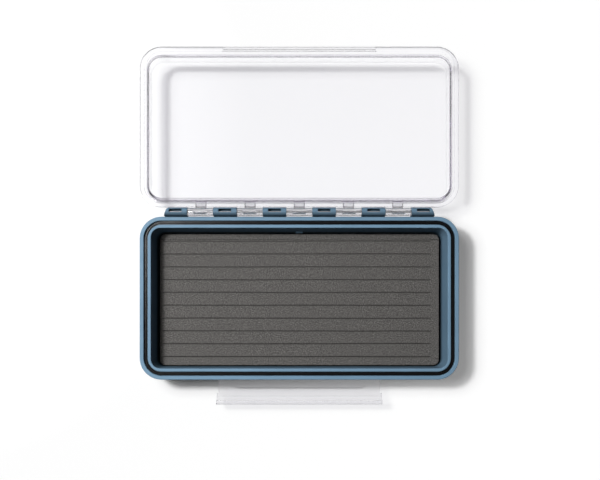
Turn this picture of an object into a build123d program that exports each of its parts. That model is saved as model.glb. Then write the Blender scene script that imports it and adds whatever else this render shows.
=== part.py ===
from build123d import *

import os
from math import radians, tan

# A flat waterproof fly box: a tray with a gasket in its rim and slit foam on its floor, a clear lid on a
# long pinned hinge, and a clear latch across the front.
#
# Millimetres. +Z is up, +X runs to the right, +Y towards the hinge and -Y towards the latch. The origin is
# the centre of the tray's underside. Everything is drawn as the box lies open: the lid folded back until
# its rim is level with the tray's, and the latch swung out level.

# ---------------------------------------------------------------- driving dimensions

# Tray
rim_length = 190.0
rim_width = 97.0
rim_corner_radius = 13.0
tray_height = 28.0
rim_depth = 4.3  # thickness of the flange round the tray's mouth
outer_land = 2.4  # rim band outside the gasket groove
groove_width = 2.3
groove_depth = 2.6
inner_land = 2.0  # rim band inside the groove
tray_wall = 2.2
tray_floor = 2.4
cavity_corner_radius = 5.6
tray_foot_chamfer = 2.4
draft_angle = 1.0
rim_edge_chamfer = 0.4
land_edge_chamfer = 0.3

# Gasket
gasket_side_gap = 0.1
gasket_web = 0.7
gasket_bead_width = 1.0
gasket_bead_height = 1.5
gasket_bead_chamfer = 0.3

# Foam
adhesive_thickness = 0.3
adhesive_inset = 1.5
foam_thickness = 8.0
foam_end_gap = 1.6
foam_back_gap = 1.0
foam_front_gap = 0.5
foam_corner_radius = 3.6
nub_length = 4.5  # foam retainer on the back wall
nub_radius = 0.9
nub_gap = 0.3

# Lid
lid_front_inset = 1.1  # the shut lid's front edge lies this far behind the tray's
lid_depth = 14.0
lid_flange = 2.4
lid_wall = 2.0
lid_panel = 2.0
lid_side_ledge = 3.6  # flange outside the lid's wall at the sides and at the hinge
lid_front_ledge = 4.5
lid_top_radius = 3.6
lid_inside_radius = 1.6
lid_edge_chamfer = 0.5
parting_gap = 0.2  # between the two rims when the box is shut
seal_rib_height = 1.0
seal_rib_side_gap = 0.35

# Hinge
tray_reach = 2.65  # from the tray's back edge to the hinge axis
lid_reach = 2.95  # from the hinge axis to the lid's back edge
pin_diameter = 1.6
pin_clearance = 0.05  # radial
post_radius = 2.35
knuckle_half = 2.15  # half the height and width of the knuckles' rounded section
knuckle_corner = 1.4
knuckle_count = 5
knuckle_pitch = 29.4
knuckle_width = 15.0
knuckle_middle_width = 7.8
knuckle_side_gap = 0.2
post_stop_gap = 0.15  # between the posts and the open lid's back edge
post_stop_height = 2.4
post_web_drop = 0.5  # the posts' stops and the knuckles' webs start this far below the rim
post_crevice_depth = 1.8  # between the posts' barrels and the rim
post_bite = 1.5
post_window_length = 7.5
post_window_width = 2.0
post_window_shift = 0.8
post_window_sink = 2.1  # the window's floor lies this far below the hinge axis
post_end_slant = 2.2
knuckle_brace_width = 6.0
knuckle_brace_drop = 3.2
pin_end_inset = 1.2

# Latch
latch_pin_diameter = 1.6
latch_axis_inset = 2.3  # behind the rim's front edge
latch_axis_height = 15.0
latch_barrel_radius = 2.0
latch_barrel_length = 80.8
latch_plate = 1.6
latch_plate_gap = 0.4  # between the shut latch and the rim
latch_plate_length = 99.4
latch_cap_length = 101.6
latch_cap_width = 2.5
latch_step_gap = 0.35
latch_stop_gap = 0.15
latch_hook_thickness = 2.1
latch_hook_reach = 3.0
latch_hook_gap = 0.15
latch_nose = 0.9
latch_pad_height = 0.7
latch_pad_gap = 0.3
latch_edge_round = 1.2
latch_lip_round = 0.8
latch_foot_round = 0.6
latch_nose_slope = 0.25
latch_pad_corner = 3.0
cap_foot = 11.5  # the caps start this far above the latch's pin
catch_length = 91.5
catch_height = 0.5
catch_width = 1.5
catch_land = 1.1  # the ridge's flat; the rest of its width is the slope inside it
lug_width = 5.0
lug_radius = 2.2
lug_side_gap = 0.3
latch_pin_end_inset = 0.6

# ---------------------------------------------------------------- derived places

draft_slope = tan(radians(draft_angle))
rim_bottom = tray_height - rim_depth
back_edge = rim_width / 2
front_edge = -rim_width / 2

cavity_inset = outer_land + groove_width + inner_land
cavity_length = rim_length - 2 * cavity_inset
cavity_width = rim_width - 2 * cavity_inset
wall_inset = cavity_inset - tray_wall
groove_middle_inset = outer_land + groove_width / 2

hinge_y = back_edge + tray_reach
hinge_z = tray_height + parting_gap / 2
lid_back = hinge_y + lid_reach
shut_lid_front = front_edge + lid_front_inset
lid_front = 2 * hinge_y - shut_lid_front
lid_width = lid_front - lid_back
pin_hole_radius = pin_diameter / 2 + pin_clearance

post_count = knuckle_count + 1
post_width = knuckle_pitch - knuckle_width - 2 * knuckle_side_gap
knuckle_centres = [(i - (knuckle_count - 1) / 2) * knuckle_pitch for i in range(knuckle_count)]
post_centres = [(i - (post_count - 1) / 2) * knuckle_pitch for i in range(post_count)]
hinge_half_length = post_centres[-1] + post_width / 2
post_face = lid_reach - post_stop_gap  # the posts' outer face, from the hinge axis

lid_flange_bottom = tray_height - lid_flange
lid_panel_top = tray_height - lid_depth + lid_panel
lid_body_back = lid_back + lid_side_ledge
lid_body_front = lid_front - lid_front_ledge
lid_body_length = rim_length - 2 * lid_side_ledge
lid_body_width = lid_body_front - lid_body_back
lid_body_middle = (lid_body_front + lid_body_back) / 2

foam_bottom = tray_floor + adhesive_thickness
foam_top = foam_bottom + foam_thickness
cavity_shrink = (tray_height - foam_bottom) * draft_slope  # what the draft takes off each side down there
foam_length = cavity_length - 2 * cavity_shrink - 2 * foam_end_gap
foam_back = cavity_width / 2 - cavity_shrink - foam_back_gap
foam_front = -cavity_width / 2 + cavity_shrink + foam_front_gap
foam_width = foam_back - foam_front
foam_middle = (foam_back + foam_front) / 2
nub_z = foam_top + nub_gap + nub_radius
nub_y = cavity_width / 2 - (tray_height - nub_z) * draft_slope

latch_y = front_edge + latch_axis_inset
latch_z = latch_axis_height
latch_pin_hole_radius = latch_pin_diameter / 2 + pin_clearance
shut_flange_top = tray_height + parting_gap + lid_flange
lug_inside = latch_barrel_length / 2 + lug_side_gap
lug_outside = lug_inside + lug_width

# The latch's cross-section, measured up and outward from its pin with the latch shut
plate_in = latch_axis_inset + latch_plate_gap
plate_out = plate_in + latch_plate
wall_behind_plate = wall_inset + (rim_bottom - latch_z + plate_in) * draft_slope - latch_axis_inset
plate_foot = latch_stop_gap - wall_behind_plate
step_up = tray_height - latch_z + latch_step_gap
step_in = latch_y - shut_lid_front + latch_step_gap
nose_up = shut_flange_top - latch_z + latch_hook_gap
hook_up = nose_up + catch_height
hook_top = hook_up + latch_hook_thickness
hook_in = step_in - latch_hook_reach
pad_up = rim_bottom - latch_z - latch_pad_gap


# ---------------------------------------------------------------- tray

def ring_sketch(z, length, width, radius, band, y=0.0):
    """A band of the given width, centred on a rounded rectangle at height z."""
    with BuildSketch(Plane.XY.offset(z)) as ring:
        with Locations((0, y)):
            RectangleRounded(length + band, width + band, radius + band / 2)
            RectangleRounded(length - band, width - band, radius - band / 2, mode=Mode.SUBTRACT)
    return ring.sketch


groove_line = (
    rim_length - 2 * groove_middle_inset,
    rim_width - 2 * groove_middle_inset,
    rim_corner_radius - groove_middle_inset,
)

with BuildPart() as tray:
    # body below the rim
    with BuildSketch(Plane.XY.offset(rim_bottom)):
        RectangleRounded(
            rim_length - 2 * wall_inset, rim_width - 2 * wall_inset, rim_corner_radius - wall_inset
        )
    extrude(amount=-rim_bottom, taper=draft_angle)
    chamfer(tray.edges().group_by(Axis.Z)[0], tray_foot_chamfer)

    # rim flange
    with BuildSketch(Plane.XY.offset(rim_bottom)):
        RectangleRounded(rim_length, rim_width, rim_corner_radius)
    extrude(amount=rim_depth)
    flange_sides = tray.faces().filter_by(
        lambda f: abs(f.center().Z - (tray_height - rim_depth / 2)) < rim_depth / 4
    )
    chamfer(flange_sides.edges().group_by(Axis.Z)[0], rim_edge_chamfer)

    # cavity and gasket groove
    with BuildSketch(Plane.XY.offset(tray_height)):
        RectangleRounded(cavity_length, cavity_width, cavity_corner_radius)
    extrude(amount=tray_floor - tray_height, taper=draft_angle, mode=Mode.SUBTRACT)
    extrude(ring_sketch(tray_height, *groove_line, groove_width), amount=-groove_depth, mode=Mode.SUBTRACT)
    chamfer(tray.edges().filter_by_position(Axis.Z, tray_height, tray_height), land_edge_chamfer)

    # foam retainer on the back wall
    with BuildSketch(Plane.YZ.offset(-nub_length / 2)):
        with Locations((nub_y, nub_z)):
            Circle(nub_radius)
    extrude(amount=nub_length)

    # hinge posts: barrels on webs off the rim, their outer faces the open lid's stop
    for x in post_centres:
        with BuildSketch(Plane.YZ.offset(x - post_width / 2)):
            with Locations((hinge_y, hinge_z)):
                Circle(post_radius)
            Polygon(
                (back_edge - post_bite, tray_height - post_crevice_depth),
                (hinge_y, tray_height - post_crevice_depth),
                (hinge_y, tray_height - post_web_drop),
                (hinge_y + post_face, tray_height - post_web_drop),
                (hinge_y + post_face, hinge_z - post_stop_height),
                (hinge_y, rim_bottom),
                (back_edge - post_bite, rim_bottom),
                align=None,
            )
        extrude(amount=post_width)
    with BuildSketch(Plane.XY.offset(rim_bottom)):
        for side in (-1, 1):
            Polygon(
                (side * hinge_half_length, back_edge),
                (side * hinge_half_length, hinge_y + post_face),
                (side * (hinge_half_length - post_end_slant), hinge_y + post_face),
                align=None,
            )
    extrude(amount=hinge_z + post_radius - rim_bottom, mode=Mode.SUBTRACT)
    with BuildSketch(Plane.XY.offset(hinge_z - post_window_sink)):
        with Locations(*((x, hinge_y + post_window_shift) for x in post_centres)):
            Rectangle(post_window_length, post_window_width)
    extrude(amount=post_window_sink + post_radius, mode=Mode.SUBTRACT)
    with BuildSketch(Plane.YZ.offset(-hinge_half_length)):
        with Locations((hinge_y, hinge_z)):
            Circle(pin_hole_radius)
    extrude(amount=2 * hinge_half_length, mode=Mode.SUBTRACT)

    # latch lugs, hung between the rim and the front wall
    for x in (-lug_outside, lug_inside):
        with BuildSketch(Plane.YZ.offset(x)):
            with Locations((latch_y, latch_z)):
                Circle(lug_radius)
            Polygon(
                (front_edge + wall_inset + tray_wall / 2, latch_z - lug_radius),
                (latch_y, latch_z - lug_radius),
                (latch_y, latch_z),
                (latch_y - lug_radius, latch_z),
                (latch_y - lug_radius, rim_bottom),
                (front_edge + wall_inset + tray_wall / 2, rim_bottom),
                align=None,
            )
        extrude(amount=lug_width)
    with BuildSketch(Plane.YZ.offset(-lug_outside)):
        with Locations((latch_y, latch_z)):
            Circle(latch_pin_hole_radius)
    extrude(amount=2 * lug_outside, mode=Mode.SUBTRACT)


# ---------------------------------------------------------------- gasket, foam and its adhesive

with BuildPart() as gasket:
    gasket_floor = tray_height - groove_depth
    extrude(ring_sketch(gasket_floor, *groove_line, groove_width - 2 * gasket_side_gap), amount=gasket_web)
    extrude(ring_sketch(gasket_floor, *groove_line, gasket_bead_width), amount=gasket_bead_height)
    chamfer(gasket.edges().group_by(Axis.Z)[-1], gasket_bead_chamfer)

with BuildPart() as adhesive:
    with BuildSketch(Plane.XY.offset(tray_floor)):
        with Locations((0, foam_middle)):
            RectangleRounded(
                foam_length - 2 * adhesive_inset,
                foam_width - 2 * adhesive_inset,
                foam_corner_radius - adhesive_inset,
            )
    extrude(amount=adhesive_thickness)

with BuildPart() as foam:
    with BuildSketch(Plane.XY.offset(foam_bottom)):
        with Locations((0, foam_middle)):
            RectangleRounded(foam_length, foam_width, foam_corner_radius)
    extrude(amount=foam_thickness)


# ---------------------------------------------------------------- lid

with BuildPart() as lid:
    # body, outside
    with BuildSketch(Plane.XY.offset(lid_flange_bottom)):
        with Locations((0, lid_body_middle)):
            RectangleRounded(lid_body_length, lid_body_width, rim_corner_radius - lid_side_ledge)
    extrude(amount=lid_flange - lid_depth, taper=draft_angle)
    fillet(lid.edges().group_by(Axis.Z)[0], lid_top_radius)

    # flange
    with BuildSketch(Plane.XY.offset(lid_flange_bottom)):
        with Locations((0, (lid_back + lid_front) / 2)):
            RectangleRounded(rim_length, lid_width, rim_corner_radius)
    extrude(amount=lid_flange)
    lid_flange_sides = lid.faces().filter_by(
        lambda f: abs(f.center().Z - (tray_height - lid_flange / 2)) < lid_flange / 4
    )
    chamfer(lid_flange_sides.edges().group_by(Axis.Z)[0], lid_edge_chamfer)

    # hollow
    with BuildSketch(Plane.XY.offset(tray_height)):
        with Locations((0, lid_body_middle)):
            RectangleRounded(
                lid_body_length - 2 * lid_wall,
                lid_body_width - 2 * lid_wall,
                rim_corner_radius - lid_side_ledge - lid_wall,
            )
    extrude(amount=lid_panel - lid_depth, taper=draft_angle, mode=Mode.SUBTRACT)
    panel_face = lid.faces().filter_by(Plane.XY).sort_by(lambda f: abs(f.center().Z - lid_panel_top))[0]
    fillet(panel_face.edges(), lid_inside_radius)
    chamfer(lid.edges().filter_by_position(Axis.Z, tray_height, tray_height), land_edge_chamfer)

    # seal rib, the mirror image of the tray's groove about the hinge axis
    extrude(
        ring_sketch(tray_height, *groove_line, groove_width - 2 * seal_rib_side_gap, y=2 * hinge_y),
        amount=seal_rib_height,
    )

    # knuckles: the outer thirds cradle the pin from below, the middle one closes round it
    for x in knuckle_centres:
        with BuildSketch(Plane.YZ.offset(x - knuckle_width / 2)):
            with Locations((hinge_y, hinge_z)):
                RectangleRounded(2 * knuckle_half, 2 * knuckle_half, knuckle_corner)
            Polygon(
                (hinge_y, tray_height - post_web_drop),
                (lid_back + post_bite, tray_height - post_web_drop),
                (lid_back + post_bite, lid_flange_bottom),
                (hinge_y, lid_flange_bottom),
                align=None,
            )
        extrude(amount=knuckle_width)
        with BuildSketch(Plane.YZ.offset(x - knuckle_brace_width / 2)):
            Polygon(
                (hinge_y + pin_diameter, lid_flange_bottom),
                (lid_back + post_bite, tray_height - post_web_drop),
                (lid_back + lid_side_ledge + lid_wall / 2, tray_height - post_web_drop),
                (lid_back + lid_side_ledge + lid_wall / 2, lid_flange_bottom - knuckle_brace_drop),
                align=None,
            )
        extrude(amount=knuckle_brace_width)
        with BuildSketch(Plane.XY.offset(hinge_z)):
            for side in (-1, 1):
                with Locations((x + side * (knuckle_width + knuckle_middle_width) / 4, hinge_y)):
                    Rectangle((knuckle_width - knuckle_middle_width) / 2, 2 * pin_hole_radius)
        extrude(amount=knuckle_half, mode=Mode.SUBTRACT)
    with BuildSketch(Plane.YZ.offset(-hinge_half_length)):
        with Locations((hinge_y, hinge_z)):
            Circle(pin_hole_radius)
    extrude(amount=2 * hinge_half_length, mode=Mode.SUBTRACT)

    # catch ridge that the latch snaps over, flush with the flange's edge
    with BuildSketch(Plane.YZ.offset(-catch_length / 2)):
        Polygon(
            (lid_front, lid_flange_bottom + lid_edge_chamfer),
            (lid_front, lid_flange_bottom - catch_height),
            (lid_front - catch_land, lid_flange_bottom - catch_height),
            (lid_front - catch_width, lid_flange_bottom),
            (lid_front - catch_width, lid_flange_bottom + lid_edge_chamfer),
            align=None,
        )
    extrude(amount=catch_length)


# ---------------------------------------------------------------- hinge pin

def pin_along_x(y, z, radius, half_length):
    """A round pin centred on x = 0."""
    with BuildPart() as pin:
        with BuildSketch(Plane.YZ.offset(-half_length)):
            with Locations((y, z)):
                Circle(radius)
        extrude(amount=2 * half_length)
    return pin.part


hinge_pin = pin_along_x(hinge_y, hinge_z, pin_diameter / 2, hinge_half_length - pin_end_inset)
latch_pin = pin_along_x(latch_y, latch_z, latch_pin_diameter / 2, lug_outside - latch_pin_end_inset)


# ---------------------------------------------------------------- latch

def latch_point(up, out):
    """A point of the shut latch, up and outward from its pin, as (y, z) with the latch swung out level."""
    return latch_y - up, latch_z - out


def latch_section(half_length, outline, rounded=()):
    """The outline as a face at x = -half_length; rounded lists (corner, radius) pairs."""
    with BuildSketch(Plane.YZ.offset(-half_length)) as section:
        Polygon(*(latch_point(*corner) for corner in outline), align=None)
        for corner, radius in rounded:
            fillet(section.vertices().sort_by_distance(latch_point(*corner))[:1], radius)
    return section.sketch


def hook_outline(foot, catch_up):
    """Plate, step and hook from foot up, with the hook's catching face at catch_up."""
    return [
        (foot, plate_in),
        (step_up, plate_in),
        (step_up, step_in),
        (catch_up, step_in),
        (catch_up, hook_in + latch_nose),
        (nose_up, hook_in + latch_nose - latch_nose_slope),
        (nose_up, hook_in),
        (hook_top, hook_in),
        (hook_top, plate_out),
        (foot, plate_out),
    ]


hook_rounds = [((hook_top, hook_in), latch_lip_round), ((hook_top, plate_out), latch_edge_round)]

with BuildPart() as latch:
    hook_half = latch_cap_length / 2 - latch_cap_width
    extrude(
        latch_section(hook_half, hook_outline(plate_foot, hook_up), hook_rounds), amount=2 * hook_half
    )

    # the plate's root is a little wider than the hook, and the caps that close the hook's ends wider still
    root_outline = [(plate_foot, plate_in), (cap_foot, plate_in), (cap_foot, plate_out), (plate_foot, plate_out)]
    extrude(latch_section(latch_plate_length / 2, root_outline), amount=latch_plate_length)
    for x in (-latch_cap_length / 2, hook_half):
        cap = latch_section(-x, hook_outline(cap_foot, nose_up), hook_rounds)
        extrude(cap, amount=latch_cap_width)
    fillet(latch.edges().filter_by(Axis.X).sort_by(Axis.Z)[:2], latch_foot_round)

    # barrel on its web, and the pad that fits under the rim
    with BuildSketch(Plane.YZ.offset(-latch_barrel_length / 2)):
        with Locations((latch_y, latch_z)):
            Circle(latch_barrel_radius)
        Polygon(
            latch_point(-latch_barrel_radius / 2, 0),
            latch_point(latch_barrel_radius, 0),
            latch_point(latch_barrel_radius, plate_in + latch_plate / 2),
            latch_point(-latch_barrel_radius / 2, plate_in + latch_plate / 2),
            align=None,
        )
    extrude(amount=latch_barrel_length)
    with BuildSketch(Plane.XY.offset(latch_z - plate_in)) as pad:
        with Locations((0, latch_y - pad_up)):
            Rectangle(latch_barrel_length, pad_up, align=(Align.CENTER, Align.MIN))
        fillet(pad.vertices().group_by(Axis.Y)[0], latch_pad_corner)
    extrude(amount=latch_pad_height)
    with BuildSketch(Plane.YZ.offset(-latch_barrel_length / 2)):
        with Locations((latch_y, latch_z)):
            Circle(latch_pin_hole_radius)
    extrude(amount=latch_barrel_length, mode=Mode.SUBTRACT)


# ---------------------------------------------------------------- export

pieces = {
    "base_tray": tray.part,
    "rim_gasket": gasket.part,
    "foam_adhesive": adhesive.part,
    "foam_insert": foam.part,
    "lid": lid.part,
    "hinge_pin": hinge_pin,
    "latch": latch.part,
    "latch_pin": latch_pin,
}

os.makedirs("parts", exist_ok=True)
for name, piece in pieces.items():
    piece.label = name
    export_step(piece, f"parts/{name}.step")
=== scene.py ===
import math

import bmesh
import bpy
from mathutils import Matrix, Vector, noise


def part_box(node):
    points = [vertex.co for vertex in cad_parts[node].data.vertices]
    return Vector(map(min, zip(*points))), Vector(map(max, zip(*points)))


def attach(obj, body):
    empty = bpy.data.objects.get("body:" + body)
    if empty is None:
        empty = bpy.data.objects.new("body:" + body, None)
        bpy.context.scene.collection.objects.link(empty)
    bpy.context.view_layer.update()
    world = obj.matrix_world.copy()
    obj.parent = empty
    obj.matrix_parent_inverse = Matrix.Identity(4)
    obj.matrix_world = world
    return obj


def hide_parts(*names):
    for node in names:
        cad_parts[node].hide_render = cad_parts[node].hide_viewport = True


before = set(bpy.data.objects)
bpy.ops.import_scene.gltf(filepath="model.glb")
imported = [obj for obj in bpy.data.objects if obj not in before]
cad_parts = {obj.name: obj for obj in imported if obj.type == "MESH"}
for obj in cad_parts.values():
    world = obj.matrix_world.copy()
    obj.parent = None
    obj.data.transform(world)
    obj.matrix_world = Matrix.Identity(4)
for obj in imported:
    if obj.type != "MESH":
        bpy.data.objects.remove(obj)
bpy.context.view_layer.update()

MM = 0.001

# ---------------------------------------------------------------- sizes, in metres

RIM_Z = 28 * MM

# Camera: straight down, off to the hinge's side of the picture's middle
CAMERA_X, CAMERA_Y = 1.9 * MM, -17.4 * MM
CAMERA_ABOVE_RIM = 450 * MM
CAMERA_LENS = 45.4
CAMERA_SHIFT_X, CAMERA_SHIFT_Y = -0.00417, 0.1457

# Light: a soft key close by at the upper left, and a weak even fill
KEY_PLACE = Vector((-250, 110, 628)) * MM
KEY_LEVEL = 0.965  # on a level surface at the origin, both lamps together
KEY_LAMPS = (("key_core", 40 * MM, 0.5, True), ("key_glow", 150 * MM, 0.5, False))  # name, radius, share, in gloss
FILL_LEVEL = 0.01
CLEAR_TURNS = 32  # light is caught between the clear walls' faces for many turns before it leaves

# Floor
FLOOR_HALF = 6.0
FLOOR_ALBEDO = 0.96
FLOOR_WHITE = 1.02  # what an unshadowed floor is lifted to where it is seen
CLEAR_LIFT = 0.06  # what the clear plastic's gloss gives back to the floor seen through it

# How bright the room looks through the clear plastic, from its - to its + side
ROOM_ALONG_Y = ((0.0, 0.1), (0.3, 0.2), (0.45, 1.0), (0.55, 1.0), (0.7, 0.15), (1.0, 0.05))
ROOM_ALONG_X = ((0.0, 1.0), (0.5, 1.0), (0.7, 0.8), (1.0, 0.7))

# The hinge's posts get painted shade, darker than the rim: the share of its tone that they keep, beside it and at their
# back
POST_FRONT_Y, POST_BACK_Y = 48.6 * MM, 52.4 * MM
POST_SHADE_TONES = (0.22, 0.85)

# The lid's wall seen from above, at its outside
WALL_MIDDLE_Y = 101.45 * MM
WALL_HALF_X, WALL_HALF_Y = 91.4 * MM, 43.75 * MM
WALL_CORNER = 9.4 * MM
WALL_THICKNESS = 2.0 * MM
WALL_TOP_Z = RIM_Z - 0.5 * MM  # the wall's rim lies above this
WALL_HINGE_END_Y = 62 * MM  # the side beside the hinge, nearer than this, lets more light down

# Edges that the materials round off
MOULD_EDGE = 0.4 * MM
CLEAR_EDGE = 1.0 * MM

# Shares of a colour that are kept
CREVICE_SHADE_REACH = 3 * MM  # how near other surfaces bring painted crevice shade to the blue plastic
CREVICE_SHADE_KEEP = 0.2  # the painted shade's share where they close in
BOUNCE_KEEP = 0.25  # in the light that the blue plastic and the foam send on to other parts

# The clear plastic's own tint, and what the rim of the lid's wall lets down
CLEAR_TINT = (0.74, 0.7, 0.8, 1.0)
CLEAR_DENSITY = 22.0
WALL_RIM_PASSES = (0.4, 0.39, 0.41, 1.0)

# Foam
FOAM_CORNER = 3.6 * MM
FOAM_EDGE = 0.55 * MM
FOAM_EDGE_PROFILE = ((0.45, 0.07), (0.8, 0.3), (1.0, 0.75))  # out and down, in edges
FOAM_FOOT = 0.4  # the bevel at the foot, in edges
FOAM_SWELL = 0.05 * MM
FOAM_SWELL_WAVES, FOAM_SWELL_SHIFT = 40, 1.7  # waves per metre, and where in the noise they start

# The foam's slits
SLIT_COUNT = 10
SLIT_PITCH = 7.92 * MM
SLIT_MIDDLE_Y = 0.2 * MM
SLIT_LEFT, SLIT_RIGHT = -84.3 * MM, 81.3 * MM
SLIT_DEPTH = 3.0 * MM
SLIT_HALF = 0.32 * MM
SLIT_REACH = 1.5 * MM  # how far from a slit's sides the painted shade in the foam's colour reaches
SLIT_WANDER = 0.22 * MM
SLIT_WAVES = ((1.0, 14, 3.1, 0.5), (0.4, 60, 5.3, 4.0))  # share, waves per metre, shift per slit, shift
SLIT_RUN_OUT = 1.2 * MM
LIP_HEIGHT = 0.07 * MM
LIP_REACH = 3  # in halves of a slit
LIP_START = 0.3  # the share of its height that a lip has at the slit's own edge

# The foam's mesh: rows across its width, and columns along its length that run straight up to its rounded ends
SLIT_ROWS = (-4, -2.6, -1.5, -1, 0, 1, 1.5, 2.6, 4)  # in halves of a slit, from its middle
ROWS_BETWEEN, ROWS_LAST = 4, 3
CORNER_ROWS = 6
COLUMNS, END_COLUMNS = 150, 5
END_MARGIN = 1 * MM


# ---------------------------------------------------------------- node helpers

def new_material(name):
    """A material with its nodes cleared, and its tree."""
    material = bpy.data.materials.new(name)
    material.use_nodes = True
    material.node_tree.nodes.clear()
    return material, material.node_tree


def add(tree, kind, inputs=None, **settings):
    """A node with its own settings. Its inputs are values, or other nodes' sockets that are joined to them."""
    node = tree.nodes.new(kind)
    for key, value in settings.items():
        setattr(node, key, value)
    for key, value in (inputs or {}).items():
        if isinstance(value, bpy.types.NodeSocket):
            tree.links.new(value, node.inputs[key])
        else:
            node.inputs[key].default_value = value
    return node


def output(tree, surface, volume=None):
    inputs = {"Surface": surface}
    if volume:
        inputs["Volume"] = volume
    add(tree, "ShaderNodeOutputMaterial", inputs)


def principled(tree, inputs):
    return add(tree, "ShaderNodeBsdfPrincipled", inputs).outputs["BSDF"]


def maths(tree, operation, *terms, **settings):
    """What a Math node makes of numbers and sockets."""
    return add(tree, "ShaderNodeMath", dict(enumerate(terms)), operation=operation, **settings).outputs["Value"]


def vectors(tree, operation, *terms, result="Vector"):
    """What a Vector Math node makes of vectors and sockets."""
    return add(tree, "ShaderNodeVectorMath", dict(enumerate(terms)), operation=operation).outputs[result]


def scaled(tree, colour, share):
    return add(tree, "ShaderNodeVectorMath", {0: colour, "Scale": share}, operation="SCALE").outputs["Vector"]


def mixed_colour(tree, share, first, second):
    return add(tree, "ShaderNodeMix", {0: share, 6: first, 7: second}, data_type="RGBA").outputs[2]


def ranged(tree, value, start, end, low=0.0, high=1.0):
    """A value that runs from low to high, made to run from start to end and held beyond them."""
    inputs = {"Value": value, "From Min": low, "From Max": high, "To Min": start, "To Max": end}
    return add(tree, "ShaderNodeMapRange", inputs).outputs["Result"]


def object_place(tree):
    """The place on the object, in its own metres."""
    return add(tree, "ShaderNodeTexCoord").outputs["Object"]


def sides_of(tree, vector):
    return add(tree, "ShaderNodeSeparateXYZ", {"Vector": vector}).outputs


def light_path(tree):
    return add(tree, "ShaderNodeLightPath").outputs


def object_noise(tree, scale, detail=2.0, roughness=0.5, stretch=None):
    """Noise over the object; stretch scales its coordinates per axis."""
    place = object_place(tree)
    if stretch:
        place = add(tree, "ShaderNodeMapping", {"Vector": place, "Scale": stretch}).outputs["Vector"]
    inputs = {"Vector": place, "Scale": scale, "Detail": detail, "Roughness": roughness}
    return add(tree, "ShaderNodeTexNoise", inputs).outputs["Fac"]


def ramp(tree, source, *stops):
    """A colour ramp through (position, colour) stops."""
    node = add(tree, "ShaderNodeValToRGB", {"Fac": source})
    elements = node.color_ramp.elements
    while len(elements) < len(stops):
        elements.new(0.5)
    for element, (position, colour) in zip(elements, stops):
        element.position = position
        element.color = (*colour, 1.0)
    return node.outputs["Color"]


def spread(tree, source, start, end):
    """Noise from its usual 0.3 to 0.7, spread over start to end."""
    return ranged(tree, source, start, end, 0.3, 0.7)


def bump(tree, height, distance, strength=1.0, normal=None):
    inputs = {"Height": height, "Distance": distance, "Strength": strength}
    if normal:
        inputs["Normal"] = normal
    return add(tree, "ShaderNodeBump", inputs).outputs["Normal"]


def soft_edges(tree, radius):
    """The surface's normal with sharp edges rounded off to a radius, as a mould leaves them."""
    return add(tree, "ShaderNodeBevel", {"Radius": radius}, samples=6).outputs["Normal"]


def deepened(tree, colour):
    """The colour, much darker for light that bounces on to other parts, which keeps shadows inside deep."""
    path = light_path(tree)
    # what is seen through the clear plastic counts as glossy too, and keeps its colour
    mirrored = maths(tree, "SUBTRACT", path["Is Glossy Ray"], path["Is Transmission Ray"])
    bounced = maths(tree, "MAXIMUM", path["Is Diffuse Ray"], mirrored)
    return scaled(tree, colour, ranged(tree, bounced, 1.0, BOUNCE_KEEP))


def painted_crevice_shade(tree, colour, reach):
    """The colour with painted shade: darker where other surfaces close in within a reach."""
    openness = add(tree, "ShaderNodeAmbientOcclusion", {"Distance": reach}, samples=8).outputs["AO"]
    return scaled(tree, colour, ranged(tree, openness, CREVICE_SHADE_KEEP, 1.0))


def linear(red, green, blue):
    """An sRGB colour, 0 to 255, as the linear colour that shaders take."""
    return tuple(
        c / 12.92 if c <= 0.04045 else ((c + 0.055) / 1.055) ** 2.4 for c in (v / 255 for v in (red, green, blue))
    )


def shaded(colour, share):
    return tuple(c * share for c in colour)


# ---------------------------------------------------------------- materials

def post_painted_shade(tree):
    """1, but less on the hinge's posts, which stand behind the rim and above it, and least beside the rim: a painted
    shade on the posts.
    """
    sides = sides_of(tree, object_place(tree))
    behind = maths(tree, "GREATER_THAN", sides["Y"], POST_FRONT_Y)
    above = maths(tree, "GREATER_THAN", sides["Z"], RIM_Z)
    on_post = maths(tree, "MULTIPLY", behind, above)
    tone = ranged(tree, sides["Y"], *POST_SHADE_TONES, POST_FRONT_Y, POST_BACK_Y)
    return ranged(tree, on_post, 1.0, tone)


def moulded_plastic():
    """Slate blue satin plastic with a fine eroded grain and faint flow marks, painted shade in its crevices, and more
    painted shade on the hinge's posts.
    """
    material, tree = new_material("moulded_blue")
    blue = linear(113, 145, 169)
    flow = object_noise(tree, 45, 3)
    colour = ramp(tree, flow, (0.3, shaded(blue, 0.94)), (0.7, shaded(blue, 1.05)))
    # painted shade on the hinge's posts, darkest beside the rim
    colour = scaled(tree, colour, post_painted_shade(tree))
    grain = object_noise(tree, 2600, 2)
    inputs = {
        # painted shade where other surfaces close in
        "Base Color": deepened(tree, painted_crevice_shade(tree, colour, CREVICE_SHADE_REACH)),
        "Roughness": spread(tree, object_noise(tree, 300, 3), 0.5, 0.6),
        "Normal": bump(tree, grain, 0.02 * MM, 0.5, soft_edges(tree, MOULD_EDGE)),
        "IOR": 1.5,
        "Specular IOR Level": 0.3,
    }
    output(tree, principled(tree, inputs))
    return material


def gasket_rubber():
    """Black silicone with a soft bloom."""
    material, tree = new_material("gasket_black")
    black = linear(10, 10, 12)
    bloom = object_noise(tree, 260, 3)
    inputs = {
        "Base Color": ramp(tree, bloom, (0.35, shaded(black, 0.8)), (0.7, shaded(black, 1.4))),
        "Roughness": spread(tree, bloom, 0.28, 0.36),
        "Normal": bump(tree, object_noise(tree, 1800, 2), 0.01 * MM, 0.5),
        "Specular IOR Level": 0.2,
    }
    output(tree, principled(tree, inputs))
    return material


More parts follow.
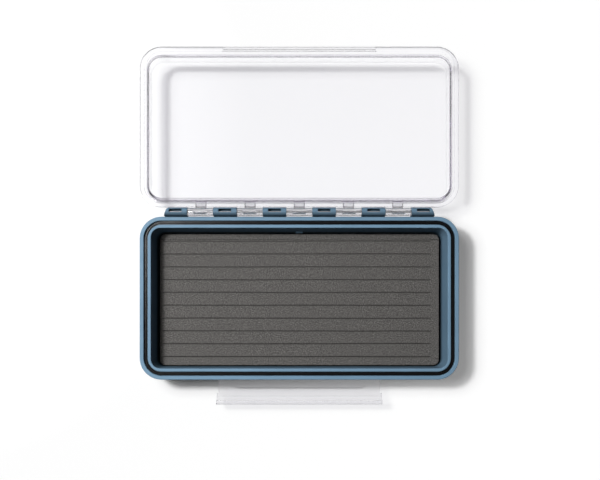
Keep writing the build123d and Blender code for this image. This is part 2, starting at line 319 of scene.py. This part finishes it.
def cell_foam():
    """Warm grey closed-cell foam: fine cells, pale and dark specks, and painted shade down in its slits."""
    material, tree = new_material("cell_foam")
    grey = linear(93, 91, 89)
    speck = object_noise(tree, 1500, 3, 0.7)
    tones = ((0.36, 0.45), (0.48, 0.91), (0.55, 1.06), (0.67, 1.9))
    colour = ramp(tree, speck, *((position, shaded(grey, tone)) for position, tone in tones))
    cells = add(tree, "ShaderNodeTexVoronoi", {"Vector": object_place(tree), "Scale": 2600}).outputs["Distance"]
    rough = bump(tree, speck, 0.12 * MM, 0.5)
    inputs = {
        # painted shade down in the slits and where other surfaces close in
        "Base Color": deepened(tree, painted_crevice_shade(tree, colour, SLIT_REACH)),
        "Normal": bump(tree, cells, 0.08 * MM, 0.6, rough),
        "Roughness": 0.85,
    }
    output(tree, principled(tree, inputs))
    return material


def on_wall_top(tree):
    """1 on the rim of the lid's wall, where light is led down inside the wall and comes out spread wide."""
    place = object_place(tree)
    off_middle = vectors(tree, "ABSOLUTE", vectors(tree, "SUBTRACT", place, (0.0, WALL_MIDDLE_Y, 0.0)))
    core = (WALL_HALF_X - WALL_CORNER, WALL_HALF_Y - WALL_CORNER, 0.0)
    past = vectors(tree, "SUBTRACT", off_middle, core)
    outside = vectors(tree, "MULTIPLY", vectors(tree, "MAXIMUM", past, (0.0, 0.0, 0.0)), (1.0, 1.0, 0.0))
    sides = sides_of(tree, past)
    inside = maths(tree, "MINIMUM", maths(tree, "MAXIMUM", sides["X"], sides["Y"]), 0.0)
    edge = maths(tree, "ADD", vectors(tree, "LENGTH", outside, result="Value"), inside)
    over_wall = maths(tree, "COMPARE", edge, WALL_CORNER - WALL_THICKNESS / 2, WALL_THICKNESS / 2)
    sides = sides_of(tree, place)
    for side, least in (("Z", WALL_TOP_Z), ("Y", WALL_HINGE_END_Y)):
        beyond = maths(tree, "GREATER_THAN", sides[side], least)
        over_wall = maths(tree, "MULTIPLY", over_wall, beyond)
    return over_wall


def clear_plastic(name, clarity):
    """Clear polycarbonate. Lamps and diffuse light pass straight through it, less so where they graze it."""
    material, tree = new_material(name)
    waviness = object_noise(tree, 60, 2)
    inputs = {
        "Base Color": (*shaded(linear(252, 252, 253), clarity), 1.0),
        "Transmission Weight": 1.0,
        "IOR": 1.5,
        "Roughness": spread(tree, object_noise(tree, 220, 3), 0.02, 0.05),
        "Normal": bump(tree, waviness, 0.03 * MM, 0.3, soft_edges(tree, CLEAR_EDGE)),
    }
    shown = principled(tree, inputs)
    grazing = add(tree, "ShaderNodeLayerWeight", {"Blend": 0.5}).outputs["Facing"]
    through = ramp(
        tree,
        grazing,
        (0.0, (0.985, 0.985, 0.987)),
        (0.11, (0.96, 0.96, 0.965)),
        (0.54, (0.9, 0.9, 0.905)),
        (0.78, (0.75, 0.75, 0.76)),
        (1.0, (0.15, 0.15, 0.16)),
    )
    passes = mixed_colour(tree, on_wall_top(tree), through, WALL_RIM_PASSES)
    open_way = add(tree, "ShaderNodeBsdfTransparent", {"Color": passes}).outputs["BSDF"]
    path = light_path(tree)
    for kind in ("Is Diffuse Ray", "Is Shadow Ray"):
        shown = add(tree, "ShaderNodeMixShader", {0: path[kind], 1: shown, 2: open_way}).outputs["Shader"]
    tint = {"Color": CLEAR_TINT, "Density": CLEAR_DENSITY}
    output(tree, shown, add(tree, "ShaderNodeVolumeAbsorption", tint).outputs["Volume"])
    return material


def drawn_steel():
    """Stainless wire with fine draw lines along its length."""
    material, tree = new_material("drawn_steel")
    lines = object_noise(tree, 900, 2, stretch=(0.02, 1.0, 1.0))
    inputs = {
        "Base Color": ramp(tree, lines, (0.3, (0.76, 0.76, 0.77)), (0.7, (0.9, 0.9, 0.91))),
        "Roughness": spread(tree, lines, 0.2, 0.3),
        "Normal": bump(tree, lines, 0.01 * MM, 0.4),
        "Metallic": 1.0,
    }
    output(tree, principled(tree, inputs))
    return material


def transfer_tape():
    """Milky double-sided tape."""
    material, tree = new_material("transfer_tape")
    milk = linear(226, 224, 214)
    haze = object_noise(tree, 400, 2)
    inputs = {
        "Base Color": ramp(tree, haze, (0.3, shaded(milk, 0.92)), (0.7, milk)),
        "Roughness": spread(tree, haze, 0.4, 0.6),
    }
    output(tree, principled(tree, inputs))
    return material


def seen_directly(tree):
    """1 for rays from the camera, for reflections and for what is seen through the clear plastic."""
    path = light_path(tree)
    first = maths(tree, "MAXIMUM", path["Is Camera Ray"], path["Is Glossy Ray"])
    return maths(tree, "MAXIMUM", first, path["Is Transmission Ray"])


def floor_white():
    """Matt white. Where it is seen, it is lifted by what the key falls short of white there, shadow or not."""
    material, tree = new_material("studio_floor")
    matt = add(tree, "ShaderNodeBsdfDiffuse", {"Color": (FLOOR_ALBEDO,) * 3 + (1.0,)}).outputs["BSDF"]
    # the key's light on the floor falls off with the cube of its distance
    reach = vectors(tree, "DISTANCE", object_place(tree), KEY_PLACE, result="Value")
    lit = maths(tree, "DIVIDE", FLOOR_ALBEDO * KEY_LEVEL * KEY_PLACE.length**3, maths(tree, "POWER", reach, 3.0))
    lack = maths(tree, "SUBTRACT", FLOOR_WHITE - FLOOR_ALBEDO * FILL_LEVEL, lit, use_clamp=True)
    more = maths(tree, "MULTIPLY", light_path(tree)["Is Transmission Ray"], CLEAR_LIFT)
    strength = maths(tree, "MULTIPLY_ADD", lack, seen_directly(tree), more)
    lift = add(tree, "ShaderNodeEmission", {"Strength": strength}).outputs["Emission"]
    output(tree, add(tree, "ShaderNodeAddShader", {0: matt, 1: lift}).outputs["Shader"])
    return material


# ---------------------------------------------------------------- foam

def outline_half(y, half_length, half_width, corner):
    """Half the length of a rounded rectangle at height y of its width."""
    past = max(0.0, abs(y) - (half_width - corner))
    return half_length - corner + math.sqrt(max(0.0, corner**2 - past**2))


def steps(start, end, count):
    return [start + (end - start) * i / count for i in range(1, count + 1)]


def foam_rows(half_width, middle_y, corner):
    """The rows across the width: their place, their slit or None, and their offset from the slit."""
    across = [
        -half_width + corner * (1 - math.sin(math.pi / 2 * (1 - i / CORNER_ROWS))) for i in range(CORNER_ROWS + 1)
    ]
    rows = [(y, None, 0.0) for y in across]
    for slit in range(SLIT_COUNT):
        place = SLIT_MIDDLE_Y - middle_y + (slit - (SLIT_COUNT - 1) / 2) * SLIT_PITCH
        start = place + SLIT_ROWS[0] * SLIT_HALF
        rows += [(y, None, 0.0) for y in steps(rows[-1][0], start, ROWS_BETWEEN)[:-1]]
        rows += [(place + k * SLIT_HALF, slit, k) for k in SLIT_ROWS]
    rows += [(y, None, 0.0) for y in steps(rows[-1][0], half_width - corner, ROWS_LAST)[:-1]]
    return rows + [(-y, None, 0.0) for y in reversed(across)]


def foam_columns(inner):
    """The columns along the length between the rounded ends, with one more at each end of a slit's run-outs."""
    columns = [-inner + 2 * inner * i / COLUMNS for i in range(COLUMNS + 1)]
    columns += [SLIT_LEFT, SLIT_LEFT + SLIT_RUN_OUT, SLIT_RIGHT, SLIT_RIGHT - SLIT_RUN_OUT]
    return sorted(c for c in columns if -inner <= c <= inner)


def slit_wander(x, slit):
    """How far a slit strays from straight, in shares of SLIT_WANDER."""
    return sum(
        share * noise.noise(Vector((x * waves, slit * per_slit, shift))) for share, waves, per_slit, shift in SLIT_WAVES
    )


def slit_rise(x, offset):
    """How much higher the foam stands at a slit: its cut, its lips or nothing, all running out at its ends."""
    depth = min(1.0, max(0.0, min(x - SLIT_LEFT, SLIT_RIGHT - x) / SLIT_RUN_OUT))
    if offset == 0:
        return -SLIT_DEPTH * depth
    if abs(offset) < LIP_REACH:
        return LIP_HEIGHT * depth * (1 if abs(offset) > 1 else LIP_START)
    return 0.0


def foam_piece():
    """The slit foam sheet: a slab with softened edges, its top cut by long slits with slightly raised lips."""
    low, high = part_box("foam_insert")
    middle_y = (low.y + high.y) / 2
    half_length = (high.x - low.x) / 2 - FOAM_EDGE
    half_width = (high.y - low.y) / 2 - FOAM_EDGE
    corner = FOAM_CORNER - FOAM_EDGE
    top = high.z - LIP_HEIGHT - FOAM_SWELL
    inner = half_length - corner - END_MARGIN
    columns = foam_columns(inner)

    mesh = bmesh.new()
    grid = []
    for y, slit, offset in foam_rows(half_width, middle_y, corner):
        ends = steps(inner, outline_half(y, half_length, half_width, corner), END_COLUMNS)
        line = []
        for x in [-e for e in reversed(ends)] + columns + ends:
            here = y
            swell_at = Vector((x * FOAM_SWELL_WAVES, y * FOAM_SWELL_WAVES, FOAM_SWELL_SHIFT))
            z = top + FOAM_SWELL * noise.noise(swell_at)
            if slit is not None:
                here += slit_wander(x, slit) * SLIT_WANDER
                z += slit_rise(x, offset)
            line.append(mesh.verts.new((x, here + middle_y, z)))
        grid.append(line)
    for a, b in zip(grid, grid[1:]):
        for i in range(len(a) - 1):
            mesh.faces.new((a[i], a[i + 1], b[i + 1], b[i]))

    # the edge: out and down from the top's border, then in under the slab
    border = grid[0] + [line[-1] for line in grid[1:]] + grid[-1][-2::-1] + [line[0] for line in grid[-2:0:-1]]
    thickness = top - low.z
    rings = [(out * FOAM_EDGE, down * FOAM_EDGE) for out, down in FOAM_EDGE_PROFILE]
    rings += [(FOAM_EDGE, thickness - FOAM_FOOT * FOAM_EDGE), ((1 - FOAM_FOOT) * FOAM_EDGE, thickness)]
    previous = border
    for out, down in rings:
        ring = []
        for vertex in border:
            x, y = vertex.co.x, vertex.co.y - middle_y
            core = Vector((
                max(-half_length + corner, min(half_length - corner, x)),
                max(-half_width + corner, min(half_width - corner, y)),
            ))
            away = (Vector((x, y)) - core).normalized()
            ring.append(mesh.verts.new((x + away.x * out, y + away.y * out + middle_y, vertex.co.z - down)))
        for i in range(len(ring)):
            j = (i + 1) % len(ring)
            mesh.faces.new((previous[j], previous[i], ring[i], ring[j]))
        previous = ring
    for vertex in previous:
        vertex.co.z = low.z
    mesh.faces.new(previous)
    bmesh.ops.recalc_face_normals(mesh, faces=mesh.faces)

    data = bpy.data.meshes.new("slit_foam")
    mesh.to_mesh(data)
    mesh.free()
    for polygon in data.polygons:
        polygon.use_smooth = True
    piece = bpy.data.objects.new("slit_foam", data)
    bpy.context.scene.collection.objects.link(piece)
    return piece


# ---------------------------------------------------------------- dressing

steel = drawn_steel()
finishes = {
    "base_tray": moulded_plastic(),
    "rim_gasket": gasket_rubber(),
    "foam_adhesive": transfer_tape(),
    "hinge_pin": steel,
    "latch_pin": steel,
    "lid": clear_plastic("clear_polycarbonate", 1.0),
    "latch": clear_plastic("thick_polycarbonate", 0.85),
}
for name, material in finishes.items():
    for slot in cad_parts[name].material_slots:
        slot.material = material

foam = foam_piece()
foam.data.materials.append(cell_foam())
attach(foam, "tray")
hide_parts("foam_insert")


# ---------------------------------------------------------------- stage, light and camera

def floor():
    mesh = bpy.data.meshes.new("studio_floor")
    corners = [(x * FLOOR_HALF, y * FLOOR_HALF, 0.0) for x, y in ((-1, -1), (1, -1), (1, 1), (-1, 1))]
    mesh.from_pydata(corners, [], [(0, 1, 2, 3)])
    mesh.materials.append(floor_white())
    piece = bpy.data.objects.new("studio_floor", mesh)
    bpy.context.scene.collection.objects.link(piece)


def key_light(name, radius, share, in_gloss):
    """A round lamp at the key's place, with its share of the key's level; in_gloss says whether gloss shows it."""
    lamp = bpy.data.lights.new(name, "POINT")
    lamp.shadow_soft_size = radius
    # the watts that give that level on a level surface at the origin
    lamp.energy = 4 * math.pi**2 * share * KEY_LEVEL * KEY_PLACE.length**3 / KEY_PLACE.z
    light = bpy.data.objects.new(name, lamp)
    light.location = KEY_PLACE
    light.visible_glossy = light.visible_transmission = in_gloss
    bpy.context.scene.collection.objects.link(light)


def fill_light():
    """An even weak fill for what it lights; where it is seen, white, and in gloss and glass a studio's dark
    ceiling and low walls."""
    world = bpy.data.worlds.new("studio")
    world.use_nodes = True
    tree = world.node_tree
    tree.nodes.clear()
    sides = sides_of(tree, add(tree, "ShaderNodeTexCoord").outputs["Generated"])
    dim_room = ramp(
        tree,
        sides["Z"],
        (0.0, (0.3, 0.3, 0.31)),
        (0.3, (0.3, 0.3, 0.31)),
        (0.5, (0.2, 0.2, 0.21)),
        (0.7, (0.5, 0.5, 0.51)),
    )
    bright_room = ramp(
        tree,
        sides["Z"],
        (0.0, (0.3, 0.29, 0.32)),
        (0.3, (1.0, 1.0, 1.0)),
        (0.5, (1.0, 0.99, 1.0)),
        (0.7, (0.95, 0.94, 0.96)),
    )
    for side, levels in (("Y", ROOM_ALONG_Y), ("X", ROOM_ALONG_X)):
        position = ranged(tree, sides[side], 0.0, 1.0, -1.0)
        opening = ramp(tree, position, *((place, (level,) * 3) for place, level in levels))
        bright_room = vectors(tree, "MULTIPLY", bright_room, opening)
    path = light_path(tree)
    colour = (FILL_LEVEL, FILL_LEVEL, FILL_LEVEL, 1.0)
    seen = (
        ("Is Camera Ray", (1.0, 1.0, 1.0, 1.0)),
        ("Is Glossy Ray", dim_room),
        ("Is Transmission Ray", bright_room),
    )
    for kind, shown in seen:
        colour = mixed_colour(tree, path[kind], colour, shown)
    surround = add(tree, "ShaderNodeBackground", {"Color": colour, "Strength": 1.0}).outputs["Background"]
    add(tree, "ShaderNodeOutputWorld", {"Surface": surround})
    bpy.context.scene.world = world


def camera():
    data = bpy.data.cameras.new("camera")
    data.lens = CAMERA_LENS
    data.shift_x, data.shift_y = CAMERA_SHIFT_X, CAMERA_SHIFT_Y
    piece = bpy.data.objects.new("camera", data)
    piece.location = (CAMERA_X, CAMERA_Y, RIM_Z + CAMERA_ABOVE_RIM)
    bpy.context.scene.collection.objects.link(piece)
    bpy.context.scene.camera = piece


floor()
for lamp in KEY_LAMPS:
    key_light(*lamp)
fill_light()
camera()
scene = bpy.context.scene
scene.view_settings.view_transform = "Standard"
scene.cycles.max_bounces = CLEAR_TURNS
scene.cycles.glossy_bounces = CLEAR_TURNS
scene.cycles.transmission_bounces = CLEAR_TURNS
scene.cycles.transparent_max_bounces = CLEAR_TURNS

bpy.context.view_layer.update()
